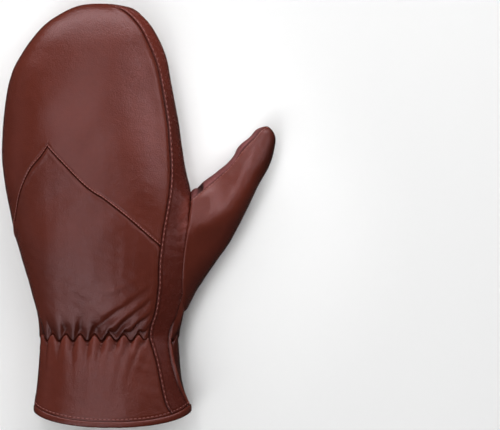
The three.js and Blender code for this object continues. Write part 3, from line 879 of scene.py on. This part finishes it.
def hem_fold(grid):
    """The fold over the hem, with the dimples of its stitches."""
    distance, s = grid.edge("foot")
    dimples = 0.14 * ripple(s, STITCH_HEM) * bump(distance, 1.3, 0.7)
    grid.raise_by(dimples - 0.25 * np.exp(-((distance / 0.5) ** 1.5)) - 0.28 * bump(distance, 1.3, 0.45))
    # Painted shade in the groove at the fold.
    grid.paint_shading(-0.4 * bump(distance, 0, 0.35))


def make_lower_back():
    columns = back_columns(length=112)
    share = columns[None, :]
    low = cuff_rows(1.0)[:, None]
    climb = fine_at_ends(length=56, step=0.95, low=False)[1:, None]
    top = pointed_seam(share) - SEAM_GAP / 2 / LENGTH
    along = np.concatenate([low + 0 * share, GATHER_STOP + climb * (top - GATHER_STOP)])
    grid = hand_panel(seam_front(along), seam_outer(along), share, along)
    grid.sew("first", 31, dark=0.8, depth=0.4, puff=0.25, pucker=0.12)
    grid.sew("last", 34)
    grid.sew("head", 37, dark=0.8, groove=0.38, puff=0.2, pucker=0.5)
    hem_fold(grid)
    return wall(grid, "lower_back", LEATHER)


def pull_to_seam(grid):
    """Fine creases that run from the front seam into the back, level with the thumb."""
    x, y = grid.points[..., 0], grid.points[..., 1]
    waves = line_noise(1.5, 101)(y + 0.3 * x) + 0.7 * line_noise(2.6, 102)(y - 0.2 * x)
    patchy = 0.5 + 0.5 * line_noise(6, 103)(x + 0.5 * y)
    grid.raise_by(0.13 * waves * band(y, -4, 6, 60, 100) * patchy * np.exp(-grid.from_first / 9))


def pointed_edge(grid):
    """The upper back's stitched edge, which lies over the lower back along the pointed seam."""
    distance, s = grid.edge("foot")
    grid.sew("foot", 47, dark=0.8, depth=0.5, puff=0.1, pucker=0.25)
    dimples = 0.1 * ripple(s, STITCH_BACK) * bump(distance, 0.9, 0.5)
    grid.raise_by(0.4 * band(distance, 0.1, 0.6, 1.2, 2.2) + dimples - 0.25 * bump(distance, 1.9, 0.35))
    # A painted highlight on the stitched ridge, and painted shade in the stitch holes.
    painted_hole_shade = np.maximum(ripple(s, STITCH_BACK), 0) * bump(distance, 1.9, 0.3)
    grid.paint_shading(0.3 * bump(distance, 0.75, 0.35) - 0.55 * painted_hole_shade)


def make_upper_back():
    columns = back_columns(length=118)
    share = columns[None, :]
    climb = fine_at_ends(length=112, step=1.05, high=False)[:, None]
    tip = tip_rows(1 - 0.04 / LENGTH, 30)[:, None]
    foot = pointed_seam(share) + SEAM_GAP / 2 / LENGTH
    along = np.concatenate([foot + climb * (TIP_START - foot), tip + 0 * share])
    grid = hand_panel(seam_front(along), seam_outer(along), share, along)
    fade = ramp(grid.from_head, 2, 12)
    front = grid.from_first
    grid.sew("first", 41, dark=0.9, fade=fade, depth=0.4, puff=0.2, pucker=0.1)
    shoulder = band(along, 0.56, 0.66, 0.84, 0.92) * bump(front, 3.6, 4.0) * ramp(front, 0, 1.5)
    grid.raise_by(0.8 * shoulder)
    grid.sew("last", 44, fade=fade, puff=0.2)
    pointed_edge(grid)
    pull_to_seam(grid)
    return wall(grid, "upper_back", LEATHER)


def strip_seams(grid, along):
    """The strip's stitched band on the back's side, and its edge on the palm's side."""
    fade = ramp(grid.from_first[:, -1:], 1, 9) * ramp(grid.from_head, 2, 12)
    upper = ramp(along, 0.62, 0.72)
    grid.sew("last", 51, dark=0.9, fade=fade, puff=0.0, pucker=0.1)
    front, s = grid.edge("last")
    dimples = 0.1 * ripple(s, STITCH_SIDE) * bump(front, 0.9, 0.5)
    grid.raise_by(fade * (0.45 * band(front, 0.15, 0.5, 1.5, 2.2) + dimples))
    grid.sew("first", 54, dark=0.7, fade=fade, puff=0.2)
    grid.raise_by(fade * upper * (0.35 * bump(front, 2.2, 0.7) - 0.12 * bump(front, 1.45, 0.3)))
    # Painted highlights on the band's ridges and painted shade in the grooves beside them; the strip's upper
    # end is painted lighter as a painted sheen.
    light = 0.06 * bump(front, 0.85, 0.4) + 0.3 * upper * bump(front, 2.15, 0.4)
    dark = 0.3 * (1 - upper) * bump(front, 2.3, 0.35) + 0.3 * upper * bump(front, 1.45, 0.25)
    grid.paint_shading(fade * (light - dark) + 0.3 * ramp(along, 0.75, 0.82))


def strip_beside_thumb(grid):
    """The strip's leather, drawn up to the thumb's seam, with wrinkles and a painted highlight beside the
    seam.
    """
    apart = from_thumb_seam(grid.points)
    x, y = grid.points[..., 0], grid.points[..., 1]
    wrinkles = line_noise(1.2, 55)((x - y) / 1.4) + 0.6 * line_noise(2.1, 56)((x - 1.3 * y) / 1.6)
    draw_up(grid, np.exp(-apart / 3.6))
    grid.raise_by(0.13 * wrinkles * bump(apart, 0, 7) * ramp(y, -30, -5))
    # A painted highlight beside the thumb's seam, brighter on the wrinkles.
    grid.paint_shading((0.4 + 0.2 * wrinkles) * band(y, -14, -3, 6, 14) * bump(apart, 2.6, 3.2))


def make_side_strip():
    columns = fine_at_ends(length=23, step=0.9)
    along = full_length(columns, step=1.0, count=160, tip=tip_rows(STRIP_END - 0.0006, 24))
    grid = hand_panel(seam_rear(along), seam_front(along), columns[None, :], along)
    strip_seams(grid, along)
    strip_beside_thumb(grid)
    hem_fold(grid)
    return wall(grid, "side_strip", STRIP_LEATHER)


def make_palm():
    columns = fine_at_ends(length=150, step=1.25)
    along = full_length(columns, step=1.2, count=130, tip=tip_rows(1, 28))
    grid = hand_panel(seam_outer(along), 360 + seam_rear(along), columns[None, :], along)
    fade = ramp(grid.from_head, 2, 12)
    grid.sew("first", 61, dark=0.8, fade=fade, puff=0.25)
    grid.sew("last", 64, dark=0.8, fade=fade, puff=0.25, pucker=0.25)
    rear, s = grid.edge("last")
    cuff = 1 - ramp(along, ELASTIC_AT, ELASTIC_AT + 0.03)
    grid.raise_by(0.7 * cuff * bump(rear, 1.4, 0.8) * (1 + 0.4 * line_noise(4, 66)(s)))
    # A painted highlight along the rear seam in the cuff, and painted shade over the palm's cuff beyond it.
    grid.paint_shading(cuff * (0.3 * bump(rear, 1.4, 0.4) - 0.75 * ramp(rear, 1.6, 2.4)))
    hem_fold(grid)
    return wall(grid, "palm", LEATHER)


def hem_rings():
    """The sections of the rolled hem, as rows of points round each section."""
    degrees = np.linspace(0, 360, 421)[:-1]
    start = HAND["along"][0]
    outside = hand_point(degrees, start)
    inside = hand_point(degrees, start, WALL)
    inside[:, 1] = outside[:, 1]
    inward = inside - outside
    thickness = np.linalg.norm(inward, axis=1)
    inward /= thickness[:, None]
    s = length_along(outside)
    corner = np.cos(np.radians(degrees)) ** 4
    swell = (0.2 + 0.06 * ripple(s, STITCH_HEM) + 0.06 * line_noise(5, 71)(s)) * (1 - 0.9 * corner)
    turn = np.linspace(0, 2 * np.pi, 19)[:-1]
    across = (1 - round_power(np.cos(turn), 0.8)) / 2
    up = (1 + round_power(np.sin(turn), 0.8)) / 2
    depth = across[None, :] * (thickness + 2 * swell)[:, None] - swell[:, None]
    rings = outside[:, None, :] + inward[:, None, :] * depth[..., None]
    below = 0.5 + 1.3 * corner[:, None]
    rings[..., 1] += up[None, :] * (HEM_BAND + 0.05 + below) - below
    rings[..., 2] = np.maximum(rings[..., 2], 0)
    return rings


def make_hem():
    rings = hem_rings()
    ids = np.arange(rings.shape[0] * rings.shape[1]).reshape(rings.shape[:2])
    right, up = np.roll(ids, -1, 0), np.roll(ids, -1, 1)
    faces = quads(ids, up, np.roll(right, -1, 1), right).tolist()
    piece = object_of("hem_roll", rings.reshape(-1, 3), faces, [LEATHER])
    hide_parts("hem")


# The thumb's panels. They leave the hand near the first share of the way to the tip, and their rows
# are closer together from the second
THUMB_ROOT = 0.4
THUMB_TIP = 0.93


def thumb_panel(from_seam, to_seam, width, end):
    """A panel of the thumb between two seams, drawn up beside the hand."""
    share = fine_at_ends(width, step=0.9)[None, :]
    tip = THUMB_TIP + (1 - THUMB_TIP) * np.sin(np.linspace(0, np.pi / 2, 16))[1:]
    climb = np.concatenate([fine_at_ends(length=64, step=0.8, high=False) * THUMB_TIP, tip])[:, None]
    low, high = from_seam(THUMB_ROOT), to_seam(THUMB_ROOT)
    start = thumb_start((low + (high - low) * share)[0])[None, :]
    at = start + climb * (end - start)
    low, high = from_seam(at / THUMB_END), to_seam(at / THUMB_END)
    degrees = low + (high - low) * share
    grid = Grid(thumb_point(degrees, at), thumb_point(degrees, at, WALL))
    grid.soften(0.16, 0.09, 0.05)
    draw_up(grid, bump(from_thumb_seam(grid.points), 0, 11))
    return grid


def thumb_crest(x, y):
    """The height of the soft ridge that runs along the thumb, from its seam towards its tip."""
    rows = np.arange(len(THUMB_CREST["x"]))
    steps = np.linspace(0, rows[-1], 60)
    path_x, path_y, height = (np.interp(steps, rows, column) for column in THUMB_CREST.values())
    apart = np.hypot(x[..., None] - path_x, y[..., None] - path_y)
    return height[np.argmin(apart, axis=-1)] * bump(apart.min(-1), 0, CREST_SPREAD)


def thumb_form(grid):
    """The thumb's ridge, and the swelling on the outer side of its tip."""
    x, y, z = np.moveaxis(grid.points, -1, 0)
    grid.raise_by(thumb_crest(x, y) * ramp(z, 14, 26))
    swelling = mound(grid.points, centre=(98, 30), spread=(7, 11))
    grid.raise_by(1.5 * swelling * ramp(-grid.normals[..., 1], -0.3, 0.5))


def thumb_painted_shade(grid):
    """Painted shade on the outer side of the thumb and of its tip, which turn away from the lights."""
    outward = 0.85 * grid.normals[..., 0] - 0.5 * grid.normals[..., 1]
    tip = ramp(grid.normals[..., 0], 0.1, 0.6) * ramp(grid.points[..., 1], 18, 36)
    grid.paint_shading(-0.45 * ramp(outward, 0.3, 0.75) - 0.4 * tip)


def make_thumb_cover():
    grid = thumb_panel(lambda at: thumb_rear(at) - 360, thumb_front, width=95, end=THUMB_END)
    thumb_form(grid)
    fade = ramp(grid.from_head, 1.5, 9)
    front = grid.from_last
    grid.sew("last", 81, dark=0.8, fade=fade, puff=0.15, pucker=0.12)
    grid.raise_by(fade * (0.35 * band(front, 0.3, 0.9, 2.2, 3.0) - 0.26 * bump(front, 1.6, 0.4)))
    grid.sew("first", 84, dark=0.8, fade=fade, puff=0.2)
    # A painted highlight on the band beside the seam, and painted shade in its groove.
    grid.paint_shading(fade * (0.2 * bump(front, 2.3, 0.5) - 0.35 * bump(front, 1.6, 0.35)))
    thumb_painted_shade(grid)
    grid.sew("foot", 91, dark=0.8, groove=0.4, pucker=0.3)
    return wall(grid, "thumb_cover", LEATHER)


def fold_crotch(grid):
    """The folds of the web between the hand and the thumb's grained strip, with painted shade in the notch
    and in the folds' hollows.
    """
    foot = grid.from_foot
    across = grid.from_first / grid.from_first[:, -1:]
    folds = line_noise(1.7, 95)(foot + 3 * across) * bump(foot, 0, 5) * ramp(foot, 0, 1.5)
    notch = bump(foot, 7.4 - 2.5 * across, 1.9)
    grid.raise_by(0.5 * folds - 2.2 * notch)
    # Painted shade: the notch nearly black, and the folds' hollows darker.
    grid.paint_shading(-1.6 * notch - 0.3 * np.maximum(-folds, 0))


def make_thumb_strip():
    grid = thumb_panel(thumb_front, thumb_rear, width=14, end=THUMB_END - 0.01)
    fade = ramp(grid.from_head, 1.5, 9)
    for side in ("first", "last"):
        grid.sew(side, 87, dark=0.7, fade=fade, depth=0.7, puff=0.1, pucker=0.15)
    grid.raise_by(0.9 * mound(grid.points, centre=(83, 40), spread=(5, 5)))
    fold_crotch(grid)
    grid.sew("foot", 91, dark=0.8, groove=0.4, pucker=0.3)
    return wall(grid, "thumb_strip", GRAIN_LEATHER)


def thumb_hollow():
    """A closed body as large as the thumb's inside."""
    degrees = np.linspace(0, 360, 49)[:-1]
    ats = np.linspace(0, THUMB_END, 40)
    rings = thumb_point(degrees[None, :], ats[:-1, None], WALL)
    count, around = rings.shape[:2]
    ends = np.stack([thumb_point(0, THUMB_END, WALL), rings[0].mean(0)])
    tip, foot = count * around, count * around + 1
    faces = []
    for c in range(around):
        n = (c + 1) % around
        for r in range(count - 1):
            faces.append((r * around + c, (r + 1) * around + c, (r + 1) * around + n, r * around + n))
        faces.append(((count - 1) * around + c, tip, (count - 1) * around + n))
        faces.append((foot, c, n))
    vertices = np.concatenate([rings.reshape(-1, 3), ends])
    return add_object("thumb_hollow", mesh_of("thumb_hollow", vertices, faces, [LINING]))


def cut_thumb_hole(pieces):
    """Opens the hand's leather where the thumb's hollow meets it."""
    cutter = thumb_hollow()
    for piece in pieces:
        modifier = piece.modifiers.new("hole", "BOOLEAN")
        modifier.operation = "DIFFERENCE"
        modifier.solver = "EXACT"
        modifier.object = cutter
        bpy.context.view_layer.update()
        evaluated = piece.evaluated_get(bpy.context.evaluated_depsgraph_get())
        cut = bpy.data.meshes.new_from_object(evaluated)
        piece.modifiers.clear()
        piece.data = cut
    bpy.data.objects.remove(cutter)


# Stitches
def rows_at(where, s, rows):
    """The row of a table of points at a place along it."""
    return np.array([np.interp(where, s, rows[:, k]) for k in range(3)])


def trace(grid, side, distance, skip=0.0):
    """A line on a grid's surface at a distance from one of its edges, with the normals there."""
    layers = [grid.edge(side)[0], grid.points, grid.normals]
    if side == "foot":
        layers = [np.swapaxes(layer, 0, 1) for layer in layers]
    points, normals = [], []
    for away, line, normal in zip(*layers):
        if away.max() < distance + skip:
            continue
        order = np.argsort(away)
        points.append(rows_at(distance, away[order], line[order]))
        normals.append(rows_at(distance, away[order], normal[order]))
    return np.array(points), np.array(normals)


def unit(vector):
    return vector / max(np.linalg.norm(vector), 1e-9)


class Stitches:
    """Many small stitches in one mesh."""

    AROUND = 6
    # Half a stitch, from its end to its middle: place along it, width and height
    PROFILE = [(-0.5, 0.05, -0.5), (-0.44, 0.7, -0.1), (-0.25, 1.0, 0.2), (0.0, 1.05, 0.3)]

    def __init__(self):
        self.vertices = []
        self.faces = []

    def sew(self, line, pitch, length, radius):
        points, normals = line
        s = length_along(points)
        for centre in np.arange(pitch / 2, s[-1] - pitch / 2, pitch):
            normal = unit(rows_at(centre, s, normals))
            ahead = rows_at(centre + 0.3, s, points) - rows_at(centre - 0.3, s, points)
            ahead = unit(ahead - normal * (ahead @ normal))
            self.add(rows_at(centre, s, points), ahead, normal, length, radius)

    def add(self, middle, ahead, normal, length, radius):
        """One stitch, as a closed tube."""
        first = len(self.vertices)
        beside = np.cross(normal, ahead)
        profile = self.PROFILE + [(-along, wide, high) for along, wide, high in self.PROFILE[-2::-1]]
        turn = 2 * np.pi * np.arange(self.AROUND)[:, None] / self.AROUND
        ring = (beside * np.cos(turn) + normal * np.sin(turn)) * radius
        for along, wide, high in profile:
            self.vertices.extend(middle + ahead * along * length + normal * high * radius + ring * wide)
        self.close(first, len(profile))

    def close(self, first, count):
        """The faces round a tube of count rings, and over its ends."""
        rings = first + np.arange(count * self.AROUND).reshape(count, self.AROUND)
        turned = np.roll(rings, -1, 1)
        self.faces += quads(rings[:-1], turned[:-1], turned[1:], rings[1:]).tolist()
        self.faces += [rings[0, ::-1].tolist(), rings[-1].tolist()]

    def make(self, name):
        return object_of(name, np.array(self.vertices), self.faces, [THREAD])


def sew_all(lower, upper, strip, palm, cover):
    back = Stitches()
    back.sew(trace(upper, "foot", 0.9), STITCH_BACK, 1.5, 0.2)
    back.sew(trace(strip, "last", 0.9, 4), STITCH_SIDE, 1.7, 0.2)
    back.make("back_stitches")
    hem = Stitches()
    for grid in (lower, strip, palm):
        hem.sew(trace(grid, "foot", 1.3), STITCH_HEM, 1.9, 0.2)
    hem.make("hem_stitches")
    thumb = Stitches()
    thumb.sew(trace(cover, "last", 1.6, 3), STITCH_THUMB, 1.5, 0.17)
    thumb.make("thumb_stitches")


def make_mitten():
    lower = make_lower_back()
    upper = make_upper_back()
    strip = make_side_strip()
    palm = make_palm()
    make_hem()
    cover = make_thumb_cover()
    make_thumb_strip()
    cut_thumb_hole([palm.piece, strip.piece])
    sew_all(lower, upper, strip, palm, cover)


# Floor and light. The floor lies a little below the mitten, with its corners this far from the middle
# in millimetres, along each side
FLOOR_HALF = 6000
FLOOR_DROP = 0.1


def make_floor():
    pale = Nodes("pale_floor").finish(Base_Color=(0.96, 0.96, 0.96, 1), Roughness=0.9)
    corners = np.array([(-1, -1, 0), (1, -1, 0), (1, 1, 0), (-1, 1, 0)]) * FLOOR_HALF
    floor = add_object("floor", mesh_of("floor", corners, [(0, 1, 2, 3)], [pale]))
    floor.location.z = -FLOOR_DROP * MM
    floor.visible_glossy = False


# Softboxes, 1.5 m away. Each is the part of the sky between two tilts from straight up, in degrees
# towards the thumb and towards the fingertips, and has a brightness beside the white floor's.
SKY = 1.5
LIGHTS = [
    ("strip", -14, -6, 0, 24, 7.0),
    ("strip_far", -16, -8, 24, 42, 3.4),
    ("strip_near", -25, -7, -26, 0, 3.2),
    ("low_left", -42, -6, -43, -26, 3.8),
    ("middle", -6, 6, -36, 42, 0.5),
    ("mid_right", 6, 24, 11, 42, 0.75),
    ("right", 24, 35, 13, 42, 1.3),
    ("outer", 35, 55, 16, 42, 0.8),
    ("left", -85, -50, -30, 40, 0.3),
    ("far_low", -45, 0, 44, 62, 1.4),
    ("far_right", 0, 28, 46, 62, 0.35),
    ("far", -45, 28, 62, 84, 6.4),
]
WORLD = 0.045
# Banks of narrow lamps: the tilts they fill, the place on the mitten they point at in millimetres, the
# beam in degrees and the brightness. A lamp's radius is in metres, and the spacing in degrees
LAMP_RADIUS = 0.07
LAMP_SPACING = 7
AIM_HEIGHT = 30
BANKS = [
    ("thumb_key", -12, 16, 29, 43, 69, 5, 4.2, 13.0),
    ("outer_key", 34, 55, 15, 43, 20, 60, 4.6, 7.4),
    ("strip_key", 38, 66, 4, 18, 52, -1, 2.6, 6.0),
]


def tilted(across, up):
    """The direction at tilts in degrees towards the thumb and towards the fingertips."""
    return Vector((math.tan(math.radians(across)), math.tan(math.radians(up)), 1)).normalized()


def lamp(name, tilt, aim, beam, brightness):
    data = bpy.data.lights.new(name, "SPOT")
    data.shadow_soft_size = LAMP_RADIUS
    data.spot_size = math.radians(beam)
    data.spot_blend = 0.7
    data.energy = brightness * 4 * math.pi * (SKY * math.radians(LAMP_SPACING)) ** 2
    light = add_object(name, data)
    light.location = aim + tilt * SKY
    light.rotation_euler = tilt.to_track_quat("Z", "Y").to_euler()


def bank(name, left, right, near, far, x, y, beam, brightness):
    aim = Vector((x, y, AIM_HEIGHT)) * MM
    half = LAMP_SPACING / 2
    for across in np.arange(left + half, right, LAMP_SPACING):
        for up in np.arange(near + half, far, LAMP_SPACING):
            lamp(name, tilted(across, up), aim, beam, brightness)


def softbox(name, left, right, near, far, brightness):
    tilt = tilted((left + right) / 2, (near + far) / 2)
    data = bpy.data.lights.new(name, "AREA")
    data.shape = "RECTANGLE"
    data.size = 2 * SKY * math.tan(math.radians(right - left) / 2)
    data.size_y = 2 * SKY * math.tan(math.radians(far - near) / 2)
    data.energy = brightness * math.pi * data.size * data.size_y
    light = add_object(name, data)
    light.location = tilt * SKY
    side = Vector((0, 1, 0)).cross(tilt).normalized()
    light.rotation_euler = Matrix((side, tilt.cross(side), tilt)).transposed().to_euler()


def light_scene():
    for row in LIGHTS:
        softbox(*row)
    for row in BANKS:
        bank(*row)
    world = bpy.data.worlds.new("studio")
    world.use_nodes = True
    background = world.node_tree.nodes["Background"]
    background.inputs["Color"].default_value = (1, 1, 1, 1)
    background.inputs["Strength"].default_value = WORLD
    SCENE.world = world
    SCENE.view_settings.view_transform = "Standard"


add_camera()
make_mitten()
make_floor()
light_scene()
